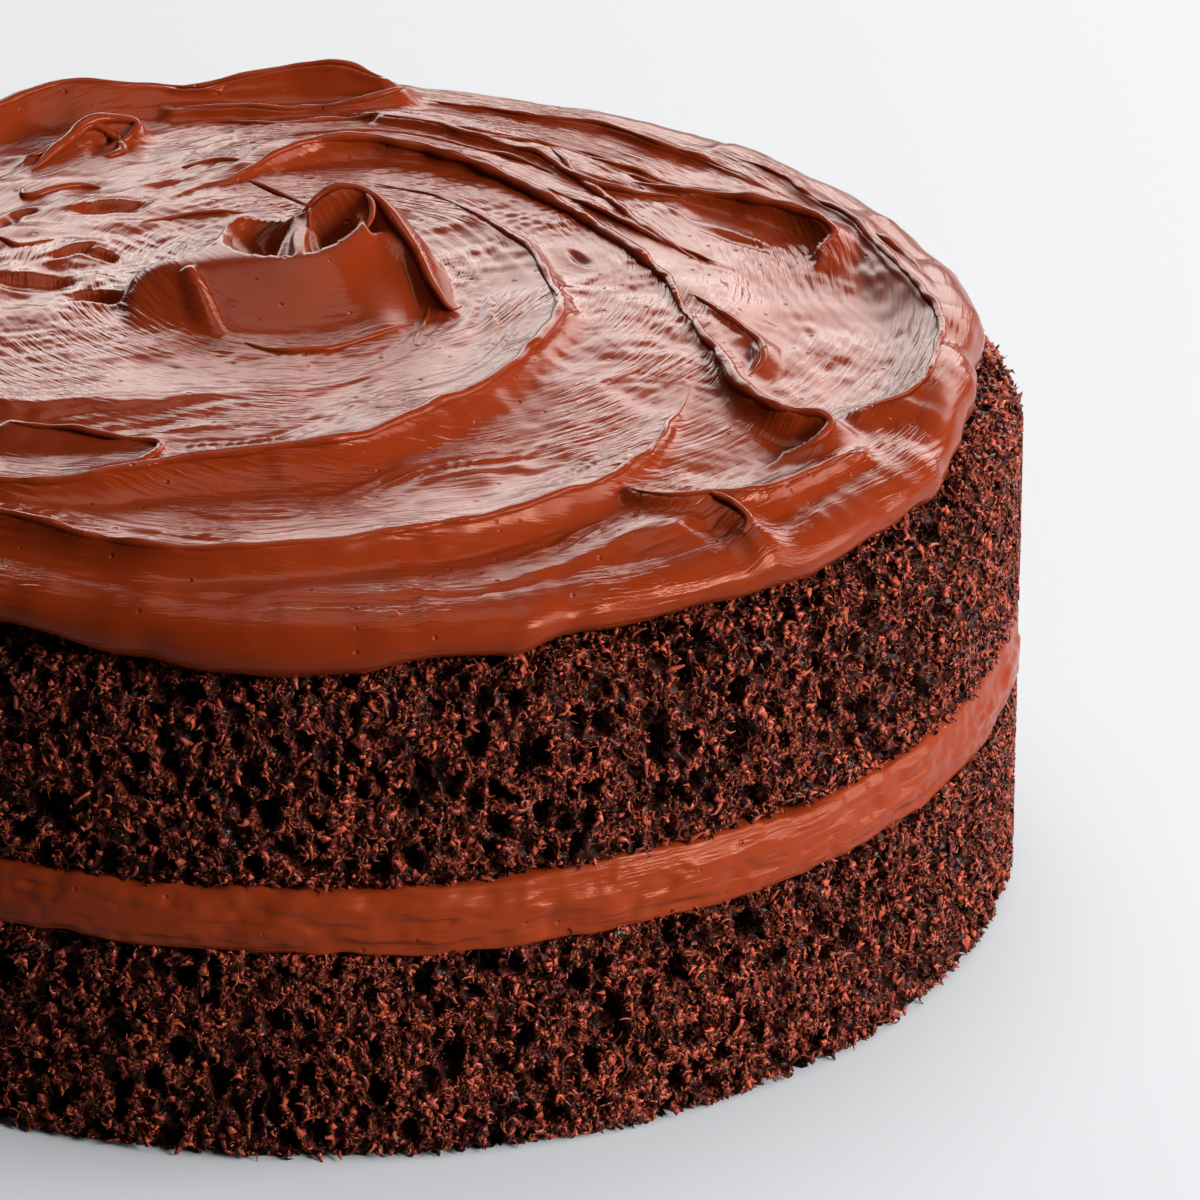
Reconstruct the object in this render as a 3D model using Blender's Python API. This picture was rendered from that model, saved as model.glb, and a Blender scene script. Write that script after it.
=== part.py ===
"""A two-layer chocolate cake: two dark sponge layers, a frosting filling between them and a
thick swirled frosting top. The cake stands on its flat underside, with the origin at the
middle of that underside and +Z up."""

import math

import bmesh
import bpy
import numpy as np

# Driving dimensions, in millimetres. Lengths below are in millimetres until a mesh is made.
MM = 0.001
SPONGE_RADIUS = 100.0
LOWER_LAYER_TOP = 32.0
FILLING_TOP = 41.9
UPPER_LAYER_TOP = 75.0
RESTING_GAP = 0.3
SHOULDER_ACROSS, SHOULDER_DOWN = 7.0, 6.0
BOTTOM_ROUND = 1.2

# The crumb: side columns and rows of a layer, and how far its crags and pits reach.
COLUMNS = 120
ROW_HEIGHT = 3.9
CRAG, PIT, PIT_SHARE, ROW_WANDER = 0.8, 2.2, 0.14, 0.7

# The filling bulges past the crumb and wanders in and out around the cake.
FILLING_RADIUS = 100.5
FILLING_BULGE = 1.4
FILLING_ROWS = 4

# The frosting: its floor, the doming of that floor, the shallow pan at the right and the rim.
SWIRL_CENTRE = (-4.0, 8.0)
FLOOR_HEIGHT = 88.6
DOME_START, DOME_RUN, DOME_DROP = 42.0, 48.0, 5.6
BACK_LIFT = 1.8
PAN_X, PAN_Y, PAN_ACROSS, PAN_ALONG, PAN_DEPTH = 71.0, -10.0, 14.0, 26.0, 1.3
RIM_ROUND = 6.0
RIM_HANG = 74.4
RIM_UNDER = 3.5
RIM_WAVE, RIM_WAVES = 0.5, (9, 23)
GRID = 46
CENTRE_CROWDING = 1.12
RIM_ANGLES = (62.0, 32.0, 0.0, -35.0, -90.0)

# Radius of the frosting about the cake's axis, by compass angle clockwise from the back.
OUTLINE = ((0, 96.3), (20, 95.0), (40, 94.0), (80, 95.0), (105, 96.0), (125, 99.0), (143, 100.5),
           (155, 99.8), (168, 103.4), (190, 103.4), (215, 101.8), (250, 100.0), (290, 99.7),
           (312, 100.5), (325, 101), (338, 100.3), (348, 97.7), (360, 96.3))

# The crests that the palette knife left. Each is the slope and reach of its left side, those of
# its right side, going the way its points go, and its points: across, back and up. A side with
# no slope falls away softly over its reach.
CRESTS = (
    (0.72, 8, 0, 13, ((6, 40.5, 90), (23, 23, 91), (31.5, -3, 91.5), (30.5, -19.5, 91.8),
                      (20, -39.5, 92), (0, -58, 92), (-20, -62.5, 91.3), (-45.5, -65.5, 89.5),
                      (-76, -38, 85))),
    (0, 5, 0.95, 4, ((-17, 43.5, 89.5), (-8, 52.5, 92), (5, 57.5, 92.3), (20, 50.5, 91.5),
                     (33.5, 34.5, 90.5), (45, 16, 89.5), (53, -12, 88.6))),
    (0.75, 8, 0, 20, ((50, -32.5, 87.6), (42, -56.5, 88), (28, -73, 88.4), (-2, -85, 88.5),
                     (-22, -86.5, 88.2), (-60, -62, 86), (-80, -40, 84.5))),
    (0.6, 8, 0, 11, ((46, -76, 86), (32, -85.5, 85), (10, -94, 84.3), (-20, -93.5, 84),
                    (-60, -72, 84.4), (-80, -48, 84))),
    (0, 5, 1.0, 4, ((8, 71.5, 89.5), (26, 58, 90.2), (38.5, 43.5, 90), (54, 37, 88.6))),
    (0, 5, 1.2, 4, ((45, 44.5, 88.6), (61.5, 34.5, 89.5), (73.5, 26, 89), (73, 18, 87.8))),
    (0.4, 4, 0.5, 6, ((60, 62, 87), (76, 35.5, 87.2), (88, -4.5, 87.6), (86, -27, 87), (74, -39.5, 86.4))),
    (0, 4, 1.0, 3, ((53, -7.5, 88.6), (57, -31.5, 88.4), (68.5, -44.5, 88.6), (63, -54, 86))),
    (0.9, 4, 0.8, 4, ((50, -69, 86.6), (57.5, -77.5, 86.4), (53.5, -85.5, 84))),
    (1.0, 3, 0, 5, ((-45.5, -46, 89.6), (-25, -58, 90.6), (-34, -64.5, 90))),
    (0, 6, 0.7, 4, ((-84, 28, 86.6), (-68, 61, 88.9), (-53, 76, 90.2), (-41, 82.5, 91.5),
                    (-25, 84.5, 89.8), (-19, 85, 89))),
    (0, 4, 1.1, 4, ((-24, 84, 88.8), (-5, 88.6, 91.4), (1, 88, 91.8), (8, 86, 90.4))),
    (0, 5, 0.9, 4, ((-25, 78.5, 87.8), (-2, 77.5, 88.4), (11, 84, 89.6), (28, 77, 88), (68, 44, 86.6))),
    (1.2, 3, 0, 4, ((-46, 58.5, 88.4), (-33.5, 68.5, 90.6), (-34, 63.5, 88))),
)
CREST_ROUND, CREST_BLEND, CREST_STEP = 1.0, 2.2, 3.0

# The cup at the middle: its mound's cliff across the cake, as the place back and the height of
# its top edge and the place of its foot; the height of the foot, the cliff's bow and rounded
# edge; how far back its level top runs; and the round hollow in it.
CLIFF = ((-37, -11, 88.6, -13), (-32, -6.5, 90.8, -14), (-28, -2.5, 93.2, -15.5), (-20.5, -3, 95.2, -16.5),
         (-7.7, -3.2, 96.8, -17.5), (0.7, -1, 97.4, -17.5), (5, 7, 99.2, -17.5), (7, 10.5, 99.1, -17.5),
         (9, 8, 98, -17), (12.1, 1.2, 95.4, -16), (15, -7, 92, -14))
CLIFF_FOOT, CLIFF_BOW, CLIFF_ROUND = 88.6, 0.25, 1.4
LEVEL_REACH, LEVEL_SHORT, LEVEL_FADE = 27.0, 14.0, 11.0
CUP_MIDDLE, CUP_RADIUS, CUP_DEPTH = (-5.5, 6.2), 9.2, 4.2

# The ribbon of frosting that rises behind the hollow and comes down beside it.
RIBBON = ((-4.5, 12.2, 97.8), (-0.6, 14.9, 100.8), (4.1, 14.6, 101.5), (8.7, 8.6, 99.2),
          (12.1, 1.4, 96), (17.2, -10, 91))
RIBBON_INNER, RIBBON_OUTER, RIBBON_BOW = 1.5, 0.5, 0.13


def smooth_through(knots, column, angle):
    """A cubic through the rows of a table, each row an angle followed by its values."""
    table = np.array(knots, float)
    at, value = table[:, 0], table[:, column]
    slope = np.gradient(value, at)
    angle = np.clip(angle, at[0], at[-1])
    row = np.clip(np.searchsorted(at, angle, side="right") - 1, 0, len(at) - 2)
    step = at[row + 1] - at[row]
    part = (angle - at[row]) / step
    rising = part * part * (3 - 2 * part)
    leave = part * (1 - part) ** 2 * step * slope[row]
    arrive = part * part * (part - 1) * step * slope[row + 1]
    return value[row] + rising * (value[row + 1] - value[row]) + leave + arrive


def compass(x, y):
    """Angle in degrees clockwise from the back, from 0 to 360."""
    return np.degrees(np.arctan2(x, y)) % 360


def smooth_step(part):
    """Rises from 0 to 1 with level ends."""
    part = np.clip(part, 0, 1)
    return part * part * (3 - 2 * part)


def drawn_out(points):
    """Points along a smooth curve through the given ones, a few millimetres apart."""
    points = np.array(points, float)
    run = np.concatenate([[0], np.cumsum(np.linalg.norm(np.diff(points[:, :2], axis=0), axis=1))])
    table = np.column_stack([run, points])
    at = np.linspace(0, run[-1], int(run[-1] / CREST_STEP) + 2)
    return np.stack([smooth_through(table, column, at) for column in (1, 2, 3)], 1)


def beside(points, x, y):
    """For each place of the plan, its distance from a curve, positive on the left of the
    curve's way, and the curve's height at the nearest point."""
    curve = drawn_out(points)
    nearest = np.full(x.shape, 1e9)
    away, crest = np.zeros(x.shape), np.zeros(x.shape)
    for start, end in zip(curve[:-1], curve[1:]):
        length = math.hypot(*(end - start)[:2])
        way = (end - start)[:2] / length
        dx, dy = x - start[0], y - start[1]
        part = np.clip(dx * way[0] + dy * way[1], 0, length)
        off = np.hypot(dx - part * way[0], dy - part * way[1])
        left = np.where(dy * way[0] - dx * way[1] >= 0, 1, -1)
        closer = off < nearest
        nearest = np.where(closer, off, nearest)
        away = np.where(closer, off * left, away)
        crest = np.where(closer, start[2] + part / length * (end[2] - start[2]), crest)
    return away, crest


def crest_side(away, crest, floor, slope, reach):
    """Height on one side of a crest: a straight slope, or a soft fall over the reach."""
    away = np.hypot(away, CREST_ROUND) - CREST_ROUND
    return crest - slope * away if slope else floor + (crest - floor) * np.exp(-away / reach)


def soft_highest(heights, sharpness):
    """The highest of several surfaces, rounded where they meet."""
    return np.log(sum(np.exp(sharpness * (height - 88)) for height in heights)) / sharpness + 88


def mound_height(x, y, height):
    """The mound at the middle: its cliff, its level top, and the hollow sunk in it."""
    edge, crest = smooth_through(CLIFF, 1, x), smooth_through(CLIFF, 2, x)
    within = smooth_step((x - CLIFF[0][0]) / 8) * smooth_step((CLIFF[-1][0] - x) / 5)
    level = LEVEL_REACH - LEVEL_SHORT * (1 - smooth_step((x + 22) / 9) + 1.4 * smooth_step((x - 1) / 5))
    inside = smooth_step((level - (y - edge)) / LEVEL_FADE)
    slope = (crest - CLIFF_FOOT) / (edge - smooth_through(CLIFF, 3, x)).clip(1)
    ahead = (edge - y + np.hypot(edge - y, CLIFF_ROUND)) / 2
    raised = height - 3 + (crest - height + 3) * inside
    raised -= slope * ahead * (1 + CLIFF_BOW * (1 - ahead / 12).clip(-1))
    mound = height - 3 + (raised - height + 3) * within
    reach = np.hypot(x - CUP_MIDDLE[0], y - CUP_MIDDLE[1]) / CUP_RADIUS
    return mound - CUP_DEPTH * (1 - reach ** 3).clip(0)


def ribbon_height(x, y):
    """The ribbon: it falls away ever steeper on the left of its edge, and steeply on the right."""
    away, crest = beside(RIBBON, x, y)
    outer = RIBBON_OUTER * away + RIBBON_BOW * away ** 2
    return crest - np.where(away > 0, outer, -RIBBON_INNER * away)


def frosting_height(x, y):
    """Height of the frosting's top surface above the table at a point of the plan."""
    from_axis = np.hypot(x, y)
    dome = smooth_step((from_axis - DOME_START) / DOME_RUN)
    floor = FLOOR_HEIGHT - DOME_DROP * dome + BACK_LIFT * dome * (y / from_axis.clip(1) + 1) / 2
    pan = ((x - PAN_X) / PAN_ACROSS) ** 4 + ((y - PAN_Y) / PAN_ALONG) ** 4
    floor = floor - PAN_DEPTH * np.exp(-pan)
    heights = [floor]
    for left_slope, left_reach, right_slope, right_reach, points in CRESTS:
        away, crest = beside(points, x, y)
        left = crest_side(away, crest, floor, left_slope, left_reach)
        heights.append(np.where(away > 0, left, crest_side(-away, crest, floor, right_slope, right_reach)))
    height = soft_highest(heights, CREST_BLEND)
    height = soft_highest([height, mound_height(x, y, height)], CREST_BLEND)
    return soft_highest([height, ribbon_height(x, y)], CREST_BLEND)


def rim_wave(turn):
    """How far the rim wanders in and out round the cake."""
    slow, quick = RIM_WAVES
    return RIM_WAVE * (np.sin(slow * turn + 1) + 0.6 * np.sin(quick * turn))


def shoulder_top(radius):
    """Height of the upper sponge's rounded shoulder at a distance from the axis."""
    out = np.clip((radius - SPONGE_RADIUS + SHOULDER_ACROSS) / SHOULDER_ACROSS, 0, 1)
    return UPPER_LAYER_TOP - SHOULDER_DOWN * (1 - np.sqrt(1 - out ** 2))


def new_material(name, colour, roughness):
    """A plain Principled material."""
    material = bpy.data.materials.new(name)
    material.use_nodes = True
    shader = material.node_tree.nodes["Principled BSDF"]
    shader.inputs["Base Color"].default_value = (*colour, 1)
    shader.inputs["Roughness"].default_value = roughness
    shader.inputs["Metallic"].default_value = 0
    return material


def add_piece(name, mesh, material, smooth):
    """Recalculates the normals of a bmesh and makes it a named object in metres."""
    bmesh.ops.recalc_face_normals(mesh, faces=mesh.faces)
    bmesh.ops.triangulate(mesh, faces=mesh.faces)
    bmesh.ops.scale(mesh, vec=(MM, MM, MM), verts=mesh.verts)
    data = bpy.data.meshes.new(name)
    mesh.to_mesh(data)
    mesh.free()
    data.materials.append(material)
    if smooth:
        data.shade_smooth()
    piece = bpy.data.objects.new(name, data)
    bpy.context.scene.collection.objects.link(piece)
    return piece


def raise_rows(mesh, loop, rows):
    """Extrudes a closed loop of edges once for each row. A row places the loop's vertices, in order."""
    verts = list(loop)
    for row in rows:
        edges = [mesh.edges.get((a, b)) for a, b in zip(verts, verts[1:] + verts[:1])]
        made = bmesh.ops.extrude_edge_only(mesh, edges=edges)["geom"]
        fresh = {v for v in made if isinstance(v, bmesh.types.BMVert)}
        ahead = []
        for vert in verts:
            above = [e.other_vert(vert) for e in vert.link_edges if e.other_vert(vert) in fresh]
            ahead.append(above[0])
        for vert, place in zip(ahead, row):
            vert.co = place
        verts = ahead
    return verts


def ring(radius, height):
    """Points of one row, from arrays of radius and height round the cake."""
    turn = np.linspace(0, 2 * math.pi, COLUMNS, endpoint=False)
    return np.stack([radius * np.cos(turn), radius * np.sin(turn), height + 0 * turn], 1)


def turned_body(rows):
    """A closed bmesh through rows of points, with a flat cap on the first and the last row."""
    mesh = bmesh.new()
    first = [mesh.verts.new(place) for place in rows[0]]
    mesh.faces.new(list(reversed(first)))
    last = raise_rows(mesh, first, rows[1:])
    mesh.faces.new(last)
    return mesh


def sponge_rows(bottom, top, across, down, seed):
    """Rows up the side of a sponge layer: cragged crumb, then the shoulder, left smooth."""
    draw = np.random.default_rng(seed)
    flat = np.ones(COLUMNS)
    rows = [ring((SPONGE_RADIUS - BOTTOM_ROUND) * flat, bottom)]
    side_top = top - down
    count = round((side_top - bottom - BOTTOM_ROUND) / ROW_HEIGHT)
    for height in np.linspace(bottom + BOTTOM_ROUND, side_top, count + 1)[:-1]:
        crag = draw.uniform(-CRAG, CRAG, COLUMNS)
        pit = PIT * (draw.random(COLUMNS) < PIT_SHARE)
        wander = draw.uniform(0, ROW_WANDER, COLUMNS)
        rows.append(ring(SPONGE_RADIUS + crag - pit, height + wander))
    for lean in np.linspace(0, math.pi / 2, 4):
        radius = SPONGE_RADIUS - across * (1 - math.cos(lean))
        rows.append(ring(radius * flat, side_top + down * math.sin(lean)))
    return rows


def make_sponge(name, bottom, top, across, down, seed, material):
    """One sponge layer: a disc whose side is torn crumb."""
    return add_piece(name, turned_body(sponge_rows(bottom, top, across, down, seed)), material, False)


def make_filling(name, material):
    """The filling: a disc of frosting whose side bulges and wanders."""
    bottom, top = LOWER_LAYER_TOP + RESTING_GAP, FILLING_TOP
    turn = np.linspace(0, 2 * math.pi, COLUMNS, endpoint=False)
    wander = 0.15 * np.sin(3 * turn + 0.6) + 0.15 * np.sin(7 * turn) + 0.1 * np.sin(16 * turn + 2)
    rows = []
    for part in np.linspace(0, 1, FILLING_ROWS + 1):
        bulge = FILLING_BULGE * math.sin(math.pi * part) ** 0.7 if 0 < part < 1 else 0
        rows.append(ring(FILLING_RADIUS + bulge + wander, bottom + part * (top - bottom)))
    return add_piece(name, turned_body(rows), material, True)


def disc_from_square(u, v):
    """Share of the radius and angle of a square's point, so that even squares stay even."""
    wide = np.abs(u) > np.abs(v)
    safe_u, safe_v = np.where(u == 0, 1, u), np.where(v == 0, 1, v)
    turn = np.where(wide, math.pi / 4 * v / safe_u, math.pi / 2 - math.pi / 4 * u / safe_v)
    share = np.where(wide, u, v)
    return np.abs(share), np.where(share < 0, turn + math.pi, turn)


def make_frosting(name, material):
    """The top: a grid drawn out to the rim, raised by the swirl, then a rim rolled under it."""
    mesh = bmesh.new()
    bmesh.ops.create_grid(mesh, x_segments=GRID, y_segments=GRID, size=1)
    mesh.verts.ensure_lookup_table()
    square = np.array([v.co[:2] for v in mesh.verts])
    share, turn = disc_from_square(square[:, 0], square[:, 1])
    share = share ** CENTRE_CROWDING
    edge = smooth_through(OUTLINE, 1, compass(np.cos(turn), np.sin(turn))) - RIM_ROUND + rim_wave(turn)
    x = SWIRL_CENTRE[0] * (1 - share) + share * edge * np.cos(turn)
    y = SWIRL_CENTRE[1] * (1 - share) + share * edge * np.sin(turn)
    for vert, place in zip(mesh.verts, np.stack([x, y, frosting_height(x, y)], 1)):
        vert.co = place
    border = [e for e in mesh.edges if e.is_boundary]
    loop = [border[0].verts[0]]
    while len(loop) < len(border):
        ahead = [e.other_vert(loop[-1]) for e in loop[-1].link_edges if e.is_boundary]
        loop.append(next(v for v in ahead if len(loop) == 1 or v is not loop[-2]))
    places = np.array([v.co[:] for v in loop])
    way = places[:, :2] / np.hypot(places[:, 0], places[:, 1])[:, None]
    inner = np.hypot(places[:, 0], places[:, 1])
    hang = np.maximum(RIM_HANG, shoulder_top(inner) + 0.4)
    rows = []
    for lean in np.radians(RIM_ANGLES):
        radius = inner + RIM_ROUND * math.cos(lean)
        height = (places[:, 2] + hang) / 2 + (places[:, 2] - hang) / 2 * math.sin(lean)
        rows.append(np.column_stack([way * radius[:, None], height]))
    under = UPPER_LAYER_TOP + RESTING_GAP
    rows.append(np.column_stack([way * (inner - RIM_UNDER)[:, None], np.full(len(inner), under)]))
    last = raise_rows(mesh, loop, rows)
    mesh.faces.new(last)
    return add_piece(name, mesh, material, True)


def clear_scene():
    """Removes whatever the scene holds."""
    for old in list(bpy.data.objects):
        bpy.data.objects.remove(old, do_unlink=True)


def main():
    clear_scene()
    sponge = new_material("chocolate sponge", (0.045, 0.014, 0.008), 0.8)
    frosting = new_material("chocolate frosting", (0.20, 0.052, 0.018), 0.32)
    make_sponge("lower_sponge", 0.0, LOWER_LAYER_TOP, 1.5, 1.5, 3, sponge)
    make_filling("filling", frosting)
    make_sponge("upper_sponge", FILLING_TOP + RESTING_GAP, UPPER_LAYER_TOP,
                SHOULDER_ACROSS, SHOULDER_DOWN, 8, sponge)
    make_frosting("top_frosting", frosting)


main()
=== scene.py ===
"""The chocolate layer cake, dressed: torn sponge crumb, smeared filling and swirled frosting."""
import math

import bpy
import numpy as np
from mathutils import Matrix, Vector


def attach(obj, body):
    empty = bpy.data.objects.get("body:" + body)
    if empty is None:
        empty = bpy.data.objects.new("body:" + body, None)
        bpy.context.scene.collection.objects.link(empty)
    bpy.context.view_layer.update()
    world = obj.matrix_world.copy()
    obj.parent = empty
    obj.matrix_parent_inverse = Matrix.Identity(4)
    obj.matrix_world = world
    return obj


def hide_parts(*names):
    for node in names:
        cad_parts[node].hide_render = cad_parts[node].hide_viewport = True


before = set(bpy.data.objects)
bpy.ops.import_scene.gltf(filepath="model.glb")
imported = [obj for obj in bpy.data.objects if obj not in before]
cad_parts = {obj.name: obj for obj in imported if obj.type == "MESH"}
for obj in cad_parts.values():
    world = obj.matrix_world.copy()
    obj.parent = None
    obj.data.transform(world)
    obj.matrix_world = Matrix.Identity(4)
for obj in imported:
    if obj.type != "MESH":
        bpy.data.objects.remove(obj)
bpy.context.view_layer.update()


# The camera stands in front of the cake and looks down on it through a long lens. It is
# placed from sizes in millimetres: how far away, how high, and how it is tipped and turned.
MM = 0.001
CAMERA_AWAY, CAMERA_HIGH = 1082.35, 537.55
CAMERA_TIP, CAMERA_TURN = 0.4311, -0.036
LENS, SENSOR = 240.0, 36.0

camera_data = bpy.data.cameras.new("camera")
camera_data.lens = LENS
camera_data.sensor_width = SENSOR
camera_data.clip_end = 20.0
camera = bpy.data.objects.new("camera", camera_data)
camera.location = (0, -CAMERA_AWAY * MM, CAMERA_HIGH * MM)
camera.rotation_euler = (math.pi / 2 - CAMERA_TIP, 0, CAMERA_TURN)
bpy.context.scene.collection.objects.link(camera)
bpy.context.scene.camera = camera


# The two sponge layers: baked chocolate crumb, bare at the side, torn where the pan's paper
# and crust were taken off. Each is one closed surface whose side is an open foam of pits
# between thin walls, worked out from jittered cells and held inside the layer's own box.
SPONGE_RADIUS = 100.0
LOWER_LAYER, UPPER_LAYER = (0.0, 32.1), (42.1, 75.1)
SIDE_COLUMNS, SIDE_ROWS = 1340, 70
SHOULDER_ACROSS, SHOULDER_DOWN = 7.0, 6.0
BOTTOM_ROUND, LOWER_ROUND = 1.3, 1.5
# The crumb's colours: painted shade, nearly black, for the pits, then the crumb's own browns up to its walls.
CRUMB_PIT_SHADE = (0.0026, 0.0007, 0.0005)
CRUMB_MIDDLE = (0.058, 0.0096, 0.0049)
CRUMB_EDGE = (0.24, 0.042, 0.0225)


def lattice_random(cell, salt):
    """A repeatable draw from 0 to 1 for each whole-numbered cell of a lattice."""
    mixed = np.full(cell.shape[:-1], 2166136261 + salt * 7919, np.uint64)
    for axis in range(cell.shape[-1]):
        mixed = (mixed ^ (cell[..., axis].astype(np.int64) & 0xFFFFFFFF).astype(np.uint64)) * 16777619
        mixed &= 0xFFFFFFFF
        mixed ^= mixed >> 13
    mixed = (mixed * 2246822519) & 0xFFFFFFFF
    mixed ^= mixed >> 15
    mixed = (mixed * 3266489917) & 0xFFFFFFFF
    mixed ^= mixed >> 16
    return mixed / 4294967296.0


def smooth_step(part):
    """Rises from 0 to 1 with level ends."""
    part = np.clip(part, 0, 1)
    return part * part * (3 - 2 * part)


def soft_noise(place, size, salt):
    """Noise from -1 to 1 that turns over about once in each size, from a lattice of draws."""
    at = place / size
    cell = np.floor(at).astype(np.int64)
    part = at - cell
    part = part * part * (3 - 2 * part)
    total = 0
    for corner in np.ndindex(*(2,) * place.shape[1]):
        corner = np.array(corner)
        weight = np.prod(np.where(corner == 1, part, 1 - part), axis=1)
        total = total + weight * lattice_random(cell + corner, salt)
    return 2 * total - 1


def foam(place, size, salt):
    """Cells of a foam: how far each place is from the nearest cell's middle, how far it is
    from a wall between two cells, both as shares of the size, and a draw for the cell."""
    at = place / size
    home = np.floor(at).astype(np.int64)
    nearest = np.full(len(at), 9.0)
    second = np.full(len(at), 9.0)
    draw = np.zeros(len(at))
    for step in np.ndindex(3, 3, 3):
        cell = home + np.array(step) - 1
        middle = cell + np.stack([lattice_random(cell, salt + axis) for axis in range(3)], 1)
        away = np.linalg.norm(at - middle, axis=1)
        closer = away < nearest
        second = np.where(closer, nearest, np.minimum(second, away))
        draw = np.where(closer, lattice_random(cell, salt + 3), draw)
        nearest = np.where(closer, away, nearest)
    return nearest, second - nearest, draw


def ring_faces(rows):
    """Vertices in metres, face corners and face sizes of a closed surface through rows of
    points in mm: each row is a ring, and the first and the last are drawn together in poles."""
    count, around = rows.shape[:2]
    ring = rows[1:-1].reshape(-1, 3)
    poles = np.array([rows[0].mean(0), rows[-1].mean(0)])
    verts = np.concatenate([ring, poles]) * MM
    index = np.arange((count - 2) * around).reshape(count - 2, around)
    turned = np.roll(index, -1, axis=1)
    quads = np.stack([index[:-1], turned[:-1], turned[1:], index[1:]], -1).reshape(-1, 4)
    low, high = len(ring), len(ring) + 1
    start = np.stack([turned[0], index[0], np.full(around, low)], -1)
    end = np.stack([index[-1], turned[-1], np.full(around, high)], -1)
    loops = np.concatenate([quads.ravel(), start.ravel(), end.ravel()])
    return verts, loops, np.concatenate([np.full(len(quads), 4), np.full(2 * around, 3)])


def mesh_from_arrays(name, verts, loops, sizes):
    """A smooth mesh object from vertex places in metres, face corners and face sizes."""
    mesh = bpy.data.meshes.new(name)
    mesh.vertices.add(len(verts))
    mesh.vertices.foreach_set("co", verts.astype(np.float32).ravel())
    mesh.loops.add(len(loops))
    mesh.loops.foreach_set("vertex_index", loops.astype(np.int32))
    mesh.polygons.add(len(sizes))
    mesh.polygons.foreach_set("loop_start", (np.cumsum(sizes) - sizes).astype(np.int32))
    mesh.polygons.foreach_set("use_smooth", np.ones(len(sizes), bool))
    mesh.update(calc_edges=True)
    piece = bpy.data.objects.new(name, mesh)
    bpy.context.scene.collection.objects.link(piece)
    return piece


def keep_value(piece, name, value):
    """Keeps one number for each vertex, for the material to read."""
    kept = piece.data.attributes.new(name, "FLOAT", "POINT")
    kept.data.foreach_set("value", value.astype(np.float32))


def keep_patches(piece, name, size, salt):
    """Keeps soft noise of one size for each vertex of a piece, from 0 to 1."""
    place = np.zeros(len(piece.data.vertices) * 3, np.float32)
    piece.data.vertices.foreach_get("co", place)
    keep_value(piece, name, 0.5 + 0.5 * soft_noise(place.reshape(-1, 3) / MM, size, salt))


def crumb_relief(place):
    """How far the torn crumb stands out from the layer's round side, in mm: pits of several
    sizes between thin walls, roughened, on a slow wander of the whole side."""
    bent = place + 0.7 * np.stack([soft_noise(place, 1.6, 11 + axis) for axis in range(3)], 1)
    bent = bent * np.array([1, 1, 0.72])
    _, wall, draw = foam(bent, 3.3, 21)
    pit = smooth_step((wall - 0.05) / 0.36) * (0.7 + 3.4 * draw ** 1.4)
    _, small_wall, small_draw = foam(bent, 1.55, 31)
    small_pit = smooth_step((small_wall - 0.08) / 0.4) * (0.25 + 1.2 * small_draw)
    _, hole_wall, hole_draw = foam(place * np.array([1, 1, 0.8]), 6.0, 41)
    hole = smooth_step((hole_wall - 0.3) / 0.35) * 4.0 * (hole_draw > 0.66)
    rough = 0.22 * soft_noise(place, 0.75, 51)
    wander = 0.5 * soft_noise(place, 14.0, 61)
    return 0.75 - pit - small_pit - hole + rough + wander


def make_sponge(name, low, high, across, down, salt):
    """A sponge layer: the side's grid follows a profile with a small round at its foot and a
    shoulder at its top, pushed in and out along the radius by the crumb's relief."""
    turn = np.linspace(0, 2 * math.pi, SIDE_COLUMNS, endpoint=False)
    side = np.linspace(0, 1, SIDE_ROWS)
    bend = math.pi / 2 * (across + down) / 2
    length = high - down - low + bend
    climb = side * length
    lean = np.clip((climb - (high - down - low)) / bend, 0, 1) * math.pi / 2
    radius = SPONGE_RADIUS - across * (1 - np.cos(lean))
    radius -= BOTTOM_ROUND * (1 - smooth_step(climb / 1.5))
    height = np.minimum(low + climb, high - down) + down * np.sin(lean)
    radius, height = np.broadcast_arrays(radius[:, None], height[:, None])
    radius = np.broadcast_to(radius, (SIDE_ROWS, SIDE_COLUMNS)).copy()
    height = np.broadcast_to(height, (SIDE_ROWS, SIDE_COLUMNS)).copy()
    place = np.stack([radius * np.cos(turn), radius * np.sin(turn), height + 200 * salt], -1)
    place = place.reshape(-1, 3)
    relief = crumb_relief(place).reshape(radius.shape)
    sway = 0.35 * soft_noise(place, 1.3, 71).reshape(radius.shape)
    inside = smooth_step(np.minimum(side, 1 - side) / 0.02)[:, None]
    radius = radius + relief * np.cos(lean)[:, None]
    height = height + relief * np.sin(lean)[:, None] * 0.5 + sway * inside
    height = np.clip(height, low, high)
    rows = np.stack([radius * np.cos(turn), radius * np.sin(turn), height], -1)
    cap = np.array([0.92, 0.0])[:, None, None] * np.array([1, 1, 0])
    foot = rows[0] * cap + np.array([0, 0, low])
    head = rows[-1] * cap[::-1] + np.array([0, 0, high])
    rows[0, :, 2] = low
    rows = np.concatenate([foot[::-1], rows, head[::-1]])
    piece = mesh_from_arrays(name, *ring_faces(rows))
    depth = np.concatenate([np.zeros(SIDE_COLUMNS), relief.ravel(), np.zeros(SIDE_COLUMNS), [0, 0]])
    keep_value(piece, "relief", depth)
    keep_patches(piece, "gap", 2.6, 75)
    keep_patches(piece, "small_gap", 1.7, 76)
    return piece, rows, relief


lower_sponge, lower_rows, lower_relief = make_sponge(
    "lower_sponge_crumb", *LOWER_LAYER, LOWER_ROUND, LOWER_ROUND, 0)
upper_sponge, upper_rows, upper_relief = make_sponge(
    "upper_sponge_crumb", *UPPER_LAYER, SHOULDER_ACROSS, SHOULDER_DOWN, 1)


def add_node(tree, kind, **values):
    """A new shader node in a node tree, with some of its inputs set by name."""
    node = tree.nodes.new(kind)
    for name, value in values.items():
        node.inputs[name.replace("_", " ")].default_value = value
    return node


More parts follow.
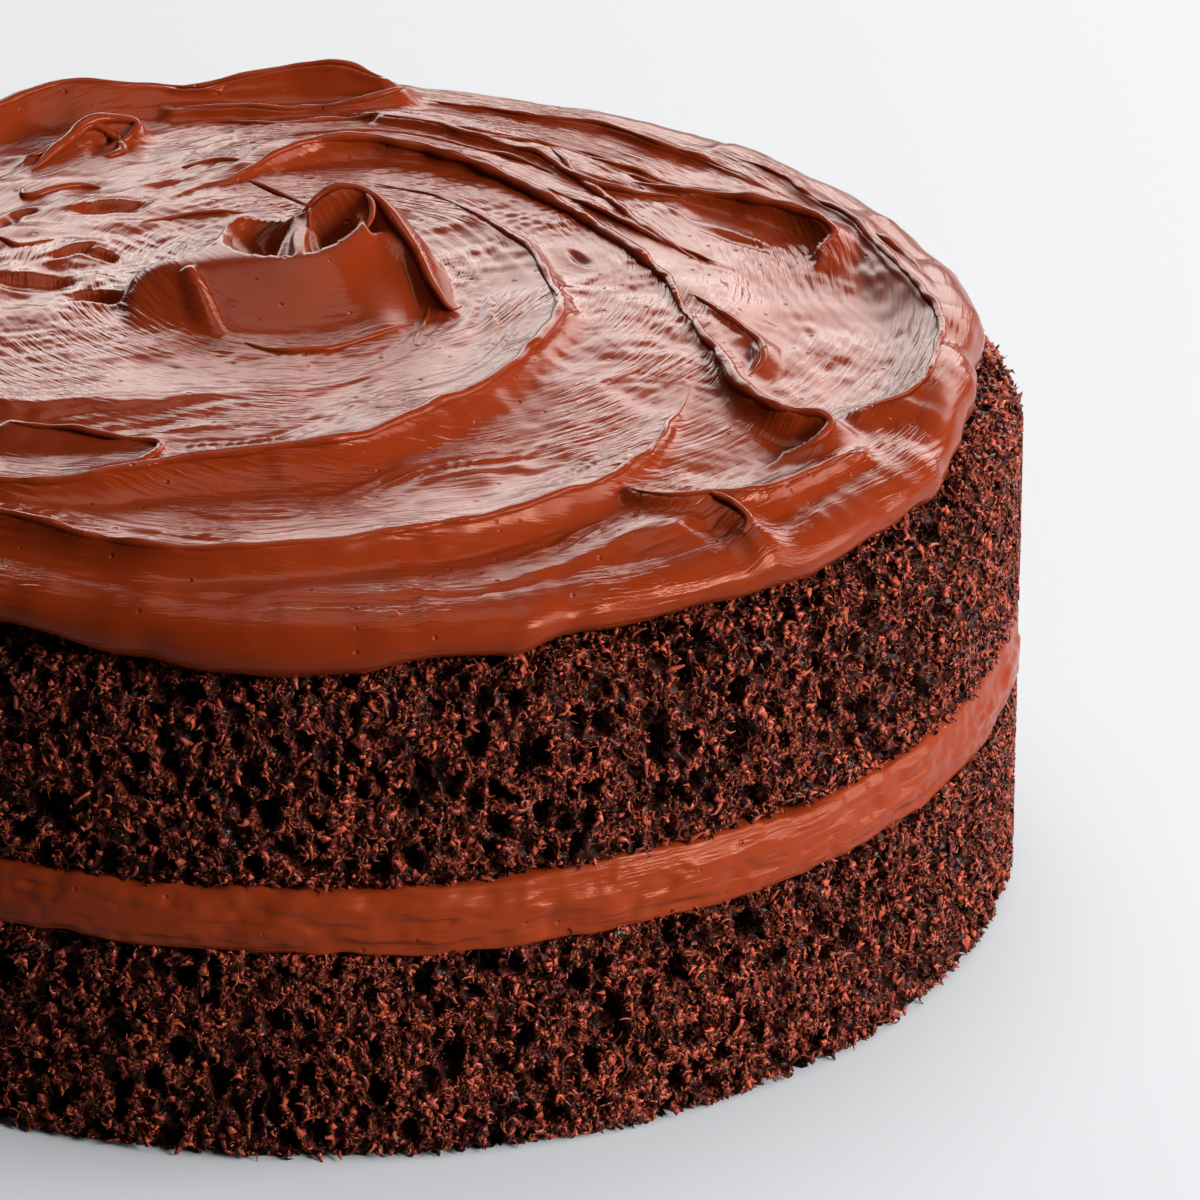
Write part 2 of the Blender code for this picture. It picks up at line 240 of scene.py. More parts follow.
def mapped(tree, source, low, high, start, end):
    """A value carried from one range to another, held inside it."""
    node = add_node(tree, "ShaderNodeMapRange", From_Min=low, From_Max=high, To_Min=start, To_Max=end)
    tree.links.new(source, node.inputs["Value"])
    return node.outputs["Result"]


def combined(tree, operation, first, second):
    """Two values put together by one sum, a plain number standing for a socket where given."""
    node = add_node(tree, "ShaderNodeMath")
    node.operation = operation
    for socket, value in zip(node.inputs, (first, second)):
        if isinstance(value, (int, float)):
            socket.default_value = value
        else:
            tree.links.new(value, socket)
    return node.outputs["Value"]


def coloured(tree, source, stops):
    """A colour that runs through the given stops: places from 0 to 1 and colours."""
    node = add_node(tree, "ShaderNodeValToRGB")
    ramp = node.color_ramp.elements
    between = [ramp.new(place) for place, _ in stops[1:-1]]
    for stop, (place, colour) in zip([ramp[0], *between, ramp[-1]], stops):
        stop.position = place
        stop.color = (*colour, 1)
    tree.links.new(source, node.inputs["Fac"])
    return node.outputs["Color"]


def kept_value(tree, name):
    """The shader's reading of a number kept for each vertex."""
    node = add_node(tree, "ShaderNodeAttribute")
    node.attribute_name = name
    return node.outputs["Fac"]


def crumb_material():
    """Moist dark crumb, red brown on the thin broken walls between its holes. The walls are
    the edges of bent cells, with curled lines of noise between. Painted shade: the holes are
    painted nearly black, and the walls are painted dimmer where the relief is deep."""
    material = bpy.data.materials.new("sponge_crumb")
    material.use_nodes = True
    tree = material.node_tree
    links = tree.links
    shader = tree.nodes["Principled BSDF"]
    shader.inputs["Specular IOR Level"].default_value = 0.1
    shader.inputs["Specular Tint"].default_value = (1.0, 0.7, 0.62, 1)
    where = add_node(tree, "ShaderNodeTexCoord")
    bend = add_node(tree, "ShaderNodeTexNoise", Scale=620.0, Detail=1.0)
    links.new(where.outputs["Object"], bend.inputs["Vector"])
    bent = add_node(tree, "ShaderNodeVectorMath")
    bent.operation = "MULTIPLY_ADD"
    links.new(bend.outputs["Color"], bent.inputs[0])
    bent.inputs[1].default_value = (0.0022, 0.0022, 0.0022)
    links.new(where.outputs["Object"], bent.inputs[2])
    cells = add_node(tree, "ShaderNodeTexVoronoi", Scale=520.0)
    cells.feature = "DISTANCE_TO_EDGE"
    links.new(bent.outputs[0], cells.inputs["Vector"])
    wall = combined(tree, "MULTIPLY", mapped(tree, cells.outputs["Distance"], 0.0, 0.16, 1.0, 0.0),
                    mapped(tree, kept_value(tree, "gap"), 0.3, 0.6, 0.1, 1.0))
    curl = add_node(tree, "ShaderNodeTexNoise", Scale=800.0, Detail=0.0)
    links.new(bent.outputs[0], curl.inputs["Vector"])
    off = combined(tree, "ABSOLUTE", combined(tree, "SUBTRACT", curl.outputs["Fac"], 0.5), 0)
    line = combined(tree, "MULTIPLY", mapped(tree, off, 0.0, 0.045, 0.8, 0.0),
                    mapped(tree, kept_value(tree, "small_gap"), 0.4, 0.6, 0.0, 1.0))
    web = combined(tree, "MAXIMUM", wall, line)
    # Painted shade: the colour is dimmed where the relief is deep and in the cells' middles, away from the
    # walls.
    high = mapped(tree, kept_value(tree, "relief"), -2.4, 0.6, 0.1, 1.0)
    tint = coloured(tree, combined(tree, "MULTIPLY", high, web),
                    ((0.0, CRUMB_PIT_SHADE), (0.4, CRUMB_MIDDLE), (1.0, CRUMB_EDGE)))
    links.new(tint, shader.inputs["Base Color"])
    bump = add_node(tree, "ShaderNodeBump", Strength=0.8, Distance=0.0005)
    links.new(web, bump.inputs["Height"])
    links.new(bump.outputs["Normal"], shader.inputs["Normal"])
    links.new(mapped(tree, bend.outputs["Fac"], 0.35, 0.65, 0.2, 0.5), shader.inputs["Roughness"])
    return material


CRUMB = crumb_material()
for piece, node in ((lower_sponge, "lower_sponge"), (upper_sponge, "upper_sponge")):
    piece.data.materials.append(CRUMB)
    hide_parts(node)
    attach(piece, "root")


# The torn edges of the crumb: short curled shreds and small loose crumbs that stand off each
# layer's side. A shred is a thin bent taper of three sides, and a crumb is a jagged lump.
# Both kinds stand mostly on the walls between pits, and a few anywhere else.
COARSE = {"count": 8200, "steps": 3, "length": (0.9, 2.3), "thick": (0.24, 0.52), "lumps": 3600}
FINE = {"count": 11500, "steps": 2, "length": (0.6, 1.5), "thick": (0.14, 0.3), "lumps": 3000}
SHRED_REACH = 101.2
# The dark end serves both a shred's own dark tone and painted shade deep in the pits.
SHRED_DARK = (0.007, 0.0014, 0.0009)
SHRED_MIDDLE = (0.072, 0.0114, 0.0056)
SHRED_LIGHT = (0.262, 0.0445, 0.0215)


def shred_surface(draw, root, out, along, kind):
    """Bent tapers: the middle line is an arc that starts on the crumb and turns towards the
    outside or along it; three corners stand round it, closer together towards the tip."""
    count, steps = len(root), kind["steps"]
    length = draw.uniform(*kind["length"], count)[:, None]
    thick = draw.uniform(*kind["thick"], count)[:, None]
    turn = draw.uniform(0.5, 3.4, count)[:, None] * draw.choice([-1, 1], (count, 1))
    roll = draw.uniform(-0.3, math.pi + 0.3, count)[:, None]
    side = np.cross(out, along)
    towards = np.cos(roll) * side + np.sin(roll) * out
    off = np.cross(along, towards)
    part = np.linspace(-0.3, 1, steps + 1)
    ahead = np.sin(turn * part) / turn * length
    bend = (1 - np.cos(turn * part)) / turn * np.sign(turn) * length
    core = root[:, None] + along[:, None] * ahead[..., None] + towards[:, None] * bend[..., None]
    spoke = np.arange(3) * 2 * math.pi / 3
    facing = np.cos(spoke)[:, None] * off[:, None] * 1.7 + np.sin(spoke)[:, None] * towards[:, None]
    taper = thick * np.linspace(1.1, 0.25, steps + 1)
    verts = (core[:, :, None] + facing[:, None] * taper[..., None, None]).reshape(-1, 3)
    base = (np.arange(count) * (steps + 1) * 3)[:, None, None]
    ring = np.arange(steps)[None, :, None] * 3
    corner = np.arange(3)[None, None, :]
    beyond = (corner + 1) % 3
    quads = np.stack(np.broadcast_arrays(base + ring + corner, base + ring + beyond,
                                         base + ring + 3 + beyond, base + ring + 3 + corner), -1)
    ends = np.concatenate([base[:, 0] + np.array([2, 1, 0]),
                           base[:, 0] + steps * 3 + np.array([0, 1, 2])])
    return verts, quads.reshape(-1, 4), ends


def lump_surface(draw, root, out, along):
    """Jagged lumps: an octahedron whose six arms each have their own length."""
    count = len(root)
    side = np.cross(out, along)
    arms = draw.uniform(0.2, 0.7, (count, 6, 1)) * draw.uniform(0.5, 1.3, (count, 1, 1))
    ways = np.stack([out, along, -out, -along, side, -side], 1)
    verts = root[:, None] + ways * arms + draw.normal(0, 0.1, (count, 6, 3))
    belt = np.array([[0, 1], [1, 2], [2, 3], [3, 0]])
    caps = np.array([[b, a, 4] for a, b in belt] + [[a, b, 5] for a, b in belt])
    faces = (np.arange(count)[:, None, None] * 6 + caps[None]).reshape(-1, 3)
    return verts.reshape(-1, 3), faces


def make_shreds(name, rows, relief, kind, salt):
    """One layer's shreds and lumps, rooted at drawn places of its crumb."""
    draw = np.random.default_rng(salt)
    side = rows[2:-2]
    weight = smooth_step((relief + 1.2) / 2.2).ravel() ** 2 + 0.03
    weight *= (side[..., 2] > 0.6).ravel()
    chosen = draw.choice(weight.size, kind["count"] + kind["lumps"], p=weight / weight.sum(), replace=False)
    root = side.reshape(-1, 3)[chosen]
    out = root * np.array([1, 1, 0])
    out /= np.linalg.norm(out, axis=1, keepdims=True)
    up = np.array([0, 0, 1.0])
    around = np.cross(up, out)
    lean = draw.normal(math.pi / 2, 0.9, len(root))[:, None] * draw.choice([-1, 1], (len(root), 1))
    lift = draw.uniform(-0.1, 0.9, (len(root), 1))
    along = (np.sin(lean) * up + np.cos(lean) * around) * np.cos(lift) + out * np.sin(lift)
    out = out * np.cos(lift) - (np.sin(lean) * up + np.cos(lean) * around) * np.sin(lift)
    count = kind["count"]
    verts, quads, ends = shred_surface(draw, root[:count], out[:count], along[:count], kind)
    lumps, lump_faces = lump_surface(draw, root[count:], out[count:], along[count:])
    # Painted shade: each shred's random tone is dimmed the deeper the crumb is where it is rooted.
    tone_and_shade = draw.random(len(root)) ** 0.8 * (0.35 + 0.65 * smooth_step((relief.ravel()[chosen] + 1.6) / 2.2))
    tone_and_shade = np.concatenate([np.repeat(tone_and_shade[:count], (kind["steps"] + 1) * 3), np.repeat(tone_and_shade[count:], 6)])
    lump_faces = lump_faces + len(verts)
    verts = np.concatenate([verts, lumps])
    verts[:, :2] *= np.minimum(1, SHRED_REACH / np.hypot(verts[:, 0], verts[:, 1]))[:, None]
    verts[:, 2] = verts[:, 2].clip(0.05, None)
    loops = np.concatenate([quads.ravel(), ends.ravel(), lump_faces.ravel()])
    sizes = np.concatenate([np.full(len(quads), 4), np.full(len(ends) + len(lump_faces), 3)])
    piece = mesh_from_arrays(name, verts * MM, loops, sizes)
    keep_value(piece, "tone_and_shade", tone_and_shade)
    return piece


def shred_material():
    """Torn crumb edges: each from nearly black to red brown, by its own random tone and by
    painted shade that dims shreds rooted deep in the pits, with a moist gloss.
    """
    material = bpy.data.materials.new("crumb_edges")
    material.use_nodes = True
    tree = material.node_tree
    shader = tree.nodes["Principled BSDF"]
    tint = coloured(tree, kept_value(tree, "tone_and_shade"),
                    ((0.0, SHRED_DARK), (0.5, SHRED_MIDDLE), (1.0, SHRED_LIGHT)))
    tree.links.new(tint, shader.inputs["Base Color"])
    shader.inputs["Specular IOR Level"].default_value = 0.2
    shader.inputs["Specular Tint"].default_value = (1.0, 0.68, 0.6, 1)
    shader.inputs["Roughness"].default_value = 0.24
    return material


EDGES = shred_material()
for name, rows, relief, kind, salt in (
        ("lower_sponge_shreds", lower_rows, lower_relief, COARSE, 5),
        ("upper_sponge_shreds", upper_rows, upper_relief, COARSE, 6),
        ("lower_sponge_fine_shreds", lower_rows, lower_relief, FINE, 7),
        ("upper_sponge_fine_shreds", upper_rows, upper_relief, FINE, 8)):
    shreds = make_shreds(name, rows, relief, kind, salt)
    shreds.data.materials.append(EDGES)
    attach(shreds, "root")


# The filling: soft frosting spread between the layers, pressed out past the crumb and wiped
# round with a knife, so its side bulges, wanders and carries long smears.
FILLING_RADIUS = 100.3
FILLING_COLUMNS, FILLING_ROWS = 1100, 44


def frosting_marks():
    """A node group for what both frostings share: fine streaks along the knife's strokes,
    stronger in some patches and weak where the surface is kept calm, with a few burst bubbles.
    It puts out the normal that they give and the patches' own value."""
    tree = bpy.data.node_groups.new("frosting_marks", "ShaderNodeTree")
    tree.interface.new_socket("Streaked", in_out="INPUT", socket_type="NodeSocketFloat")
    tree.interface.new_socket("Normal", in_out="OUTPUT", socket_type="NodeSocketVector")
    tree.interface.new_socket("Patch", in_out="OUTPUT", socket_type="NodeSocketFloat")
    given = add_node(tree, "NodeGroupInput")
    put_out = add_node(tree, "NodeGroupOutput")
    stroke = add_node(tree, "ShaderNodeAttribute")
    stroke.attribute_name = "stroke"
    streak = add_node(tree, "ShaderNodeTexNoise", Scale=1.0, Detail=3.0)
    tree.links.new(stroke.outputs["Vector"], streak.inputs["Vector"])
    where = add_node(tree, "ShaderNodeTexCoord")
    bubbles = add_node(tree, "ShaderNodeTexVoronoi", Scale=300.0)
    tree.links.new(where.outputs["Object"], bubbles.inputs["Vector"])
    chance = add_node(tree, "ShaderNodeSeparateColor")
    tree.links.new(bubbles.outputs["Color"], chance.inputs["Color"])
    pit = combined(tree, "MULTIPLY", mapped(tree, bubbles.outputs["Distance"], 0.05, 0.13, 0.5, 0.0),
                   combined(tree, "GREATER_THAN", chance.outputs["Red"], 0.5))
    patch = kept_value(tree, "patch")
    strength = combined(tree, "MULTIPLY", mapped(tree, patch, 0.35, 0.7, 0.25, 1.0),
                        mapped(tree, kept_value(tree, "calm"), 0.0, 1.0, 1.0, 0.25))
    strength = combined(tree, "MULTIPLY", strength, given.outputs["Streaked"])
    ridge = combined(tree, "MULTIPLY", streak.outputs["Fac"], strength)
    bump = add_node(tree, "ShaderNodeBump", Strength=1.0, Distance=0.0004)
    tree.links.new(combined(tree, "SUBTRACT", ridge, pit), bump.inputs["Height"])
    tree.links.new(bump.outputs["Normal"], put_out.inputs["Normal"])
    tree.links.new(patch, put_out.inputs["Patch"])
    return tree


MARKS = frosting_marks()


def frosting_material(name, colour, dull, streaked):
    """Glossy milk chocolate frosting of one colour, with the shared marks as strong as said
    and a gloss that comes and goes from patch to patch."""
    material = bpy.data.materials.new(name)
    material.use_nodes = True
    tree = material.node_tree
    shader = tree.nodes["Principled BSDF"]
    shader.inputs["Base Color"].default_value = (*colour, 1)
    shader.inputs["Specular IOR Level"].default_value = 0.12
    shader.inputs["Specular Tint"].default_value = (1.0, 0.5, 0.35, 1)
    marks = tree.nodes.new("ShaderNodeGroup")
    marks.node_tree = MARKS
    marks.inputs["Streaked"].default_value = streaked
    tree.links.new(marks.outputs["Normal"], shader.inputs["Normal"])
    roughness = mapped(tree, marks.outputs["Patch"], 0.3, 0.7, dull + 0.12, dull)
    tree.links.new(roughness, shader.inputs["Roughness"])
    return material


# Painted light: the filling's frosting is a lighter copy of the top frosting's colour, brightened to stand in
# for light on the filling.
SMEARED_PAINTED_LIGHT = frosting_material("smeared_frosting_painted_light", (0.13, 0.0165, 0.0038), 0.22, 0.8)


def keep_vector(piece, name, value):
    """Keeps one vector for each vertex, for the material to read."""
    kept = piece.data.attributes.new(name, "FLOAT_VECTOR", "POINT")
    kept.data.foreach_set("vector", value.astype(np.float32).ravel())


def stroke_space(x, y, across):
    """A place for stretched noise: the plan drawn close together and the distance across the
    stroke, so that a streak runs long one way and fine the other."""
    return np.stack([0.12 * x, 0.12 * y, across * 1.4], -1)


def make_filling():
    """The filling's side: a bulge as a power of a sine up the layer, plus long level smears
    that are noise drawn out along the side, with its edges lapping a little over the crumb."""
    turn = np.linspace(0, 2 * math.pi, FILLING_COLUMNS, endpoint=False)
    part = np.linspace(0, 1, FILLING_ROWS)[:, None] + 0 * turn
    around = np.stack([FILLING_RADIUS * np.cos(turn), FILLING_RADIUS * np.sin(turn)], -1)
    flat = np.concatenate([np.broadcast_to(around, part.shape + (2,)), (part * 9.6)[..., None]], -1)
    long_way = flat.reshape(-1, 3) * np.array([0.12, 0.12, 1.0])
    smear = soft_noise(long_way, 1.7, 81).reshape(part.shape) * 0.5
    smear += soft_noise(long_way, 0.9, 82).reshape(part.shape) * 0.25
    smear += soft_noise(flat.reshape(-1, 3), 4.0, 80).reshape(part.shape) * 0.35
    sag = soft_noise(flat.reshape(-1, 3) * np.array([1, 1, 0.4]), 16.0, 83).reshape(part.shape)
    fold = soft_noise(flat.reshape(-1, 3) * np.array([0.3, 0.3, 1]), 3.4, 77).reshape(part.shape)
    smear += 0.5 * np.abs(fold) + 0.3 * soft_noise(flat.reshape(-1, 3), 1.8, 74).reshape(part.shape)
    edge_low = 32.0 + 0.7 * soft_noise(around, 12.0, 84) + 0.35 * soft_noise(around, 3.5, 85)
    edge_high = 42.3 + 0.7 * soft_noise(around, 13.0, 86) + 0.35 * soft_noise(around, 3.0, 87)
    height = edge_low + part * (edge_high - edge_low)
    bulge = 1.3 * np.sin(math.pi * part) ** 0.6
    radius = FILLING_RADIUS - 0.4 + bulge + (0.5 * sag + smear) * np.sin(math.pi * part) ** 0.4
    radius = np.minimum(radius, 101.5)
    rows = np.stack([radius * np.cos(turn), radius * np.sin(turn), height], -1)
    inner = rows[[0, -1]] * np.array([0.96, 0.96, 1])
    rows = np.concatenate([inner[:1] * np.array([0, 0, 1]), inner[:1], rows,
                           inner[1:], inner[1:] * np.array([0, 0, 1])])
    piece = mesh_from_arrays("filling_smeared", *ring_faces(rows))
    stroke = stroke_space(rows[2:-2, :, 0], rows[2:-2, :, 1], height)
    stroke = np.concatenate([stroke[:1], stroke, stroke[-1:]]).reshape(-1, 3)
    keep_vector(piece, "stroke", np.concatenate([stroke, np.zeros((2, 3))]))
    keep_patches(piece, "patch", 9.0, 78)
    return piece


filling = make_filling()
filling.data.materials.append(SMEARED_PAINTED_LIGHT)
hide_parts("filling")
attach(filling, "root")


# The top frosting: a thick coat swirled with a palette knife from the rim inwards and lifted
# off in a cup at the middle. Its top is a height over the plan: a domed floor, the crests the
# knife left, the cup, and the pockets and peaks where passes ended. The rim rolls under it.
CENTRE = (-4.0, 8.0)
FLOOR, DOME_START, DOME_RUN, DOME_DROP = 88.6, 42.0, 48.0, 5.6
UNDERSIDE, UNDERSIDE_RADIUS = 75.2, 90.0
RIM_ROUND, RIM_HANG = 6.0, 74.4
OUTLINE = ((0, 96.3), (20, 94.8), (40, 93.4), (80, 94.2), (105, 95.4), (125, 98.8), (143, 100.5),
           (155, 99.5), (168, 102.4), (190, 102.3), (215, 101.0), (250, 99.5), (290, 99.2),
           (312, 100.0), (325, 100.5), (338, 99.8), (348, 97.2), (360, 96.3))
FROST_COLUMNS, FROST_ROWS = 490, 184

# Each stroke: the slope and reach of its left side, then of its right side, going the way its
# points go, and its points: across, back and up. A slope of 0 falls away softly over the reach.
STROKES = (
    (0.85, 8, 0, 13, ((6, 40.5, 90), (15, 35.5, 90.5), (23, 23, 91), (28.5, 10.5, 91.2), (31.5, -3, 91.5),
        (30.5, -19.5, 91.8), (20, -39.5, 92), (0, -58, 92), (-20, -62.5, 91.3),
        (-45.5, -65.5, 89.5), (-62, -56, 87), (-76, -38, 85))),
    (0, 16, 1.1, 4, ((-17, 43.5, 89.5), (-13, 47, 90.6), (-8, 52.5, 91.4), (-2, 56.5, 91.6), (5, 57.5, 91.5),
        (13, 54.5, 91.2), (20, 50.5, 90.8), (27, 44, 90.4), (33.5, 34.5, 90), (39.5, 24.5, 89.8),
        (45, 16, 89.5), (49, 4.5, 89.2), (51, -5, 89), (53, -12, 88.6))),
    (1.25, 8, 0, 60, ((50, -32.5, 87.6), (47, -44.5, 88), (42, -56.5, 88), (36, -66.5, 88.2), (28, -73, 88.4),
        (18, -78.5, 88.5), (-2, -85, 88.5), (-22, -86.5, 88.2), (-40, -78, 88.0),
        (-60, -64, 87.2), (-80, -41, 85.5))),
    (0.6, 8, 0, 26, ((46, -76, 86), (40, -78.5, 85.6), (32, -85.5, 85.3), (22, -91.5, 85.1), (10, -94.5, 85),
        (-5, -95, 85), (-20, -93.5, 85), (-42, -85, 85.1), (-60, -72.5, 84.8), (-80, -48, 84.2))),
    (0, 14, 1.2, 4, ((8, 71.5, 89.5), (18, 65.5, 90), (26, 58, 90.2), (33, 50.5, 90.2), (38.5, 43.5, 90),
        (45.5, 39, 89.6), (54, 37, 88.6))),
    (0, 5, 1.2, 4, ((45, 44.5, 88.6), (53.5, 39, 89.4), (61.5, 34.5, 89.5), (68.5, 30.5, 89.3),
        (73.5, 26, 89), (75, 22, 88.6), (73, 18, 87.8))),
    (0, 4, 0.9, 3, ((33, 39.5, 89.5), (38, 32.5, 89.6), (43, 25.5, 89.6), (48, 19.5, 89.2), (57, 11.5, 88))),
    (0.4, 4, 0.5, 6, ((60, 62, 87), (70, 48, 87), (76, 35.5, 87.2), (81, 22, 87.4), (85, 8.5, 87.6),
        (88, -4.5, 87.6), (88, -16, 87.4), (86, -27, 87), (81, -35, 86.6), (74, -39.5, 86.4))),
    (0, 3, 0.9, 3, ((52, -1, 88.4), (56, -7, 89), (59.5, -13, 89), (62, -18.5, 88.8), (62, -23.5, 88.4),
        (59, -28, 87))),
    (0, 4, 1.0, 3, ((53, -7.5, 88.6), (54, -16.5, 88.8), (56, -24, 88.6), (57, -31.5, 88.4),
        (60, -38.5, 88.4), (64, -42.5, 88.6), (68.5, -44.5, 88.6), (70, -48, 88.2),
        (68, -51.5, 87.4), (63, -54, 86))),
    (0, 4, 1.0, 4, ((41, -66.5, 86.8), (46, -69.5, 87.2), (52, -69, 87.4), (59, -66.5, 87.2),
        (66, -60.5, 86.8), (73, -52.5, 86))),
    (0.9, 4, 0.8, 4, ((50, -69, 86.6), (54.5, -72, 87), (56.5, -75.5, 86.6), (55.5, -78.5, 85.6))),
    (1.0, 3, 0, 5, ((-45.5, -46, 89.6), (-37.5, -50, 90), (-30, -54.5, 90.4), (-25, -58, 90.6),
        (-27, -62, 90.4), (-34, -64.5, 90))),
    (0, 6, 0.7, 4, ((-84, 28, 86.6), (-77, 46, 87.8), (-68, 61, 88.9), (-59, 71, 89.7), (-53, 76, 90.2),
        (-47, 80, 90.8), (-41, 82.5, 91.5), (-34, 84, 91.1), (-25, 84.5, 89.8), (-19, 85, 89))),
    (0, 4, 1.1, 4, ((-24, 84, 88.8), (-12, 87.4, 90.4), (-5, 88.6, 91.4), (1, 88, 91.8), (8, 86, 90.4))),
    (0, 5, 0.9, 4, ((-25, 78.5, 87.8), (-15, 79, 88.2), (-2, 77.5, 88.4), (5, 78, 89.4), (10, 80.5, 90.2),
        (11, 84, 89))),
    (1.2, 3, 0, 4, ((-46, 58.5, 88.4), (-41, 62.5, 89.2), (-37.5, 67, 90.2), (-33.5, 68.5, 90.6),
        (-30, 68.5, 90), (-31, 65, 89), (-34, 63.5, 88))),
    (0, 4, 0.8, 4, ((15, 82.5, 87.4), (28, 77, 88.0), (40, 71.5, 88.2), (50, 62.5, 88), (60, 53.5, 87.4),
        (68, 44, 86.6))),
    (0, 5, 0.6, 4, ((-50, -5, 88.6), (-40, -11, 89), (-32, -18, 89.2), (-26, -23.5, 89))),
    (0.4, 6, 0, 6, ((18, -18, 89.6), (8, -28.5, 89.8), (-5, -36, 90), (-20, -38, 90), (-35, -38.5, 89.8),
        (-49.5, -35.5, 89.4), (-62, -26, 88.6))),
)
# The cup: its mound has a cliff at the front, given across the cake as the place back and the
# height of its top edge and the place of its foot, and a level top behind; then the ridge down
# the cliff's left end, the hollow's rim and depth with the fan in it, and the ribbon over it.
CLIFF = ((-37, -11, 88.6, -13), (-32, -6.5, 90.8, -14), (-28, -2.5, 93.2, -15.5), (-25, -1.6, 94.4, -16),
         (-20.5, -3, 95.2, -16.5), (-14, -2.8, 96.2, -17), (-7.7, -3.2, 96.8, -17.5), (-3, -3, 97, -17.5),
         (0.7, -1, 97.4, -17.2), (3, 1.5, 98, -16.8), (5, 5.5, 98.7, -16), (7, 8, 98.5, -15),
         (9, 7, 97.7, -14), (12.1, 1.2, 95.3, -12.5), (15, -7, 91.8, -11.5))
CLIFF_FOOT, CLIFF_BOW, CLIFF_ROUND = 88.6, 0.25, 1.4
LEVEL_REACH, LEVEL_SHORT, LEVEL_FADE = 27.0, 14.0, 11.0
CLIFF_END = ((-20.5, -3.5, 95.2), (-19.8, -8, 93.6), (-18, -13, 91.4), (-14.5, -17.5, 88.8))
CUP = (-5.5, 6.2)
CUP_RIM = ((0, 9.6), (45, 10.6), (90, 9.0), (135, 8.4), (180, 8.4), (225, 9.4), (270, 10.8), (315, 11.4),
           (360, 9.6))
CUP_DEPTH = 6.4
FAN = (-4.8, 13.2, 98.4)
FAN_FALL, FAN_START, FAN_SPREAD, FAN_FOLDS = 0.14, 0.7, 0.3, 7.0
RIBBON = ((-4.5, 12.2, 97.4), (-3, 13.4, 98.6), (-0.6, 14.9, 99.8), (1.8, 15.2, 100.3), (4.1, 14.6, 100.3),
          (6.4, 12.6, 99.6), (8.7, 8.6, 98.3), (12.1, 1.4, 95.6), (14.9, -6.7, 92.6), (17.2, -10, 90.8))
RIBBON_INNER, RIBBON_OUTER, RIBBON_BOW = 1.5, 0.5, 0.13
DENTS = ((-33, 34, 5, 2.0, 5, 2.0), (-34, -1.5, 4, 1.5, -15, 1.8), (-39, 16, 3.2, 1.3, 25, 1.4),
         (-35, 14.5, 2.4, 1.2, -30, 1.3), (-49, 31, 3.5, 1.6, 60, 1.5), (-46, 35, 2.2, 1.3, 10, 1.3),
         (-44, 6, 6, 2.2, -12, 1.2), (-55, 12, 7, 2.4, 20, 1.3), (-24, 44, 4, 1.5, 15, 1.1),
         (60, 22, 5, 1.4, -35, 0.9), (36, 12, 3, 0.9, -60, 0.8), (-60, -8, 8, 2, -20, 1.2))
BLEND, BACK_LIFT, PAN_DEPTH = 2.2, 1.8, 1.3
CALM = (-8, -8, 17, 8)


def smooth_through(knots, column, at):
    """A cubic through a table whose rows are a place along and the values there."""
    table = np.array(knots, float)
    place, value = table[:, 0], table[:, column]
    slope = np.gradient(value, place)
    at = np.clip(at, place[0], place[-1])
    row = np.clip(np.searchsorted(place, at, side="right") - 1, 0, len(place) - 2)
    step = place[row + 1] - place[row]
    part = (at - place[row]) / step
    rising = part * part * (3 - 2 * part)
    leave = part * (1 - part) ** 2 * step * slope[row]
    arrive = part * part * (part - 1) * step * slope[row + 1]
    return value[row] + rising * (value[row + 1] - value[row]) + leave + arrive


def compass(x, y):
    """Angle in degrees clockwise from the back, from 0 to 360."""
    return np.degrees(np.arctan2(x, y)) % 360


def drawn_out(points, spacing=1.5):
    """Points along a smooth curve through the given ones, with the length run so far."""
    points = np.array(points, float)
    run = np.concatenate([[0], np.cumsum(np.linalg.norm(np.diff(points[:, :2], axis=0), axis=1))])
    table = np.column_stack([run, points])
    at = np.linspace(0, run[-1], max(int(run[-1] / spacing), 4) + 1)
    return at, np.stack([smooth_through(table, column, at) for column in (1, 2, 3)], 1)


def beside(points, x, y):
    """For each place of the plan: the length along a curve to its nearest point, the distance
    from it, positive on its left, the crest height there, and the curve's left direction."""
    run, curve = drawn_out(points)
    start, way = curve[:-1], np.diff(curve, axis=0)
    length = np.linalg.norm(way[:, :2], axis=1)
    best = np.full(len(x), 1e9)
    along, signed, crest = np.zeros(len(x)), np.zeros(len(x)), np.zeros(len(x))
    left = np.zeros((len(x), 2))
    for index in range(len(start)):
        dx, dy = x - start[index, 0], y - start[index, 1]
        ux, uy = way[index, :2] / length[index]
        part = np.clip(dx * ux + dy * uy, 0, length[index])
        away = np.hypot(dx - part * ux, dy - part * uy)
        closer = away < best
        best = np.where(closer, away, best)
        side = np.where(dy * ux - dx * uy >= 0, 1, -1)
        signed = np.where(closer, away * side, signed)
        along = np.where(closer, run[index] + part, along)
        crest = np.where(closer, start[index, 2] + part / length[index] * way[index, 2], crest)
        left = np.where(closer[:, None], np.array([-uy, ux]), left)
    return along, signed, crest, left


def stroke_side(away, crest, floor, slope, reach):
    """One side of a crest: a straight slope, or a soft fall over the reach, both rounded
    close to the crest itself."""
    rounded = np.hypot(away, 0.7) - 0.7
    soft = floor + (crest - floor) * np.exp(-rounded / reach)
    return crest - slope * rounded if slope else soft


